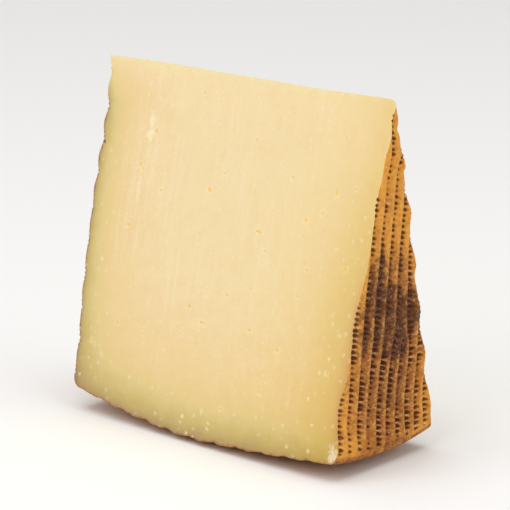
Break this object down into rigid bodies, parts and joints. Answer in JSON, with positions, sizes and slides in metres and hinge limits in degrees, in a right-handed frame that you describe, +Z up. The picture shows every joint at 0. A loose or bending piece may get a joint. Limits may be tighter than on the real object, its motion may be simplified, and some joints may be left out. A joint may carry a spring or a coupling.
{
  "type": "semi-cured manchego cheese wedge",
  "caption": "Wedge of semi-cured manchego standing on its curved side rind, with two pale knife cuts and a golden flat rind pressed with ribs and rows of dents.",
  "frame": {"origin": "on the surface it stands on, under the middle of the wedge's box", "axes": "+Z up towards the thin edge, which is the wheel's axis; +X along that axis towards the flat rind shown in the picture; -Y faces the open knife cut"},
  "size_m": [0.1037, 0.0422, 0.098],
  "materials": {
    "cheese": "smooth waxy cut paste, with a rough golden brown rind"
  },
  "bodies": {
    "root": {"cheese_wedge": "cheese"}
  },
  "joints": []
}
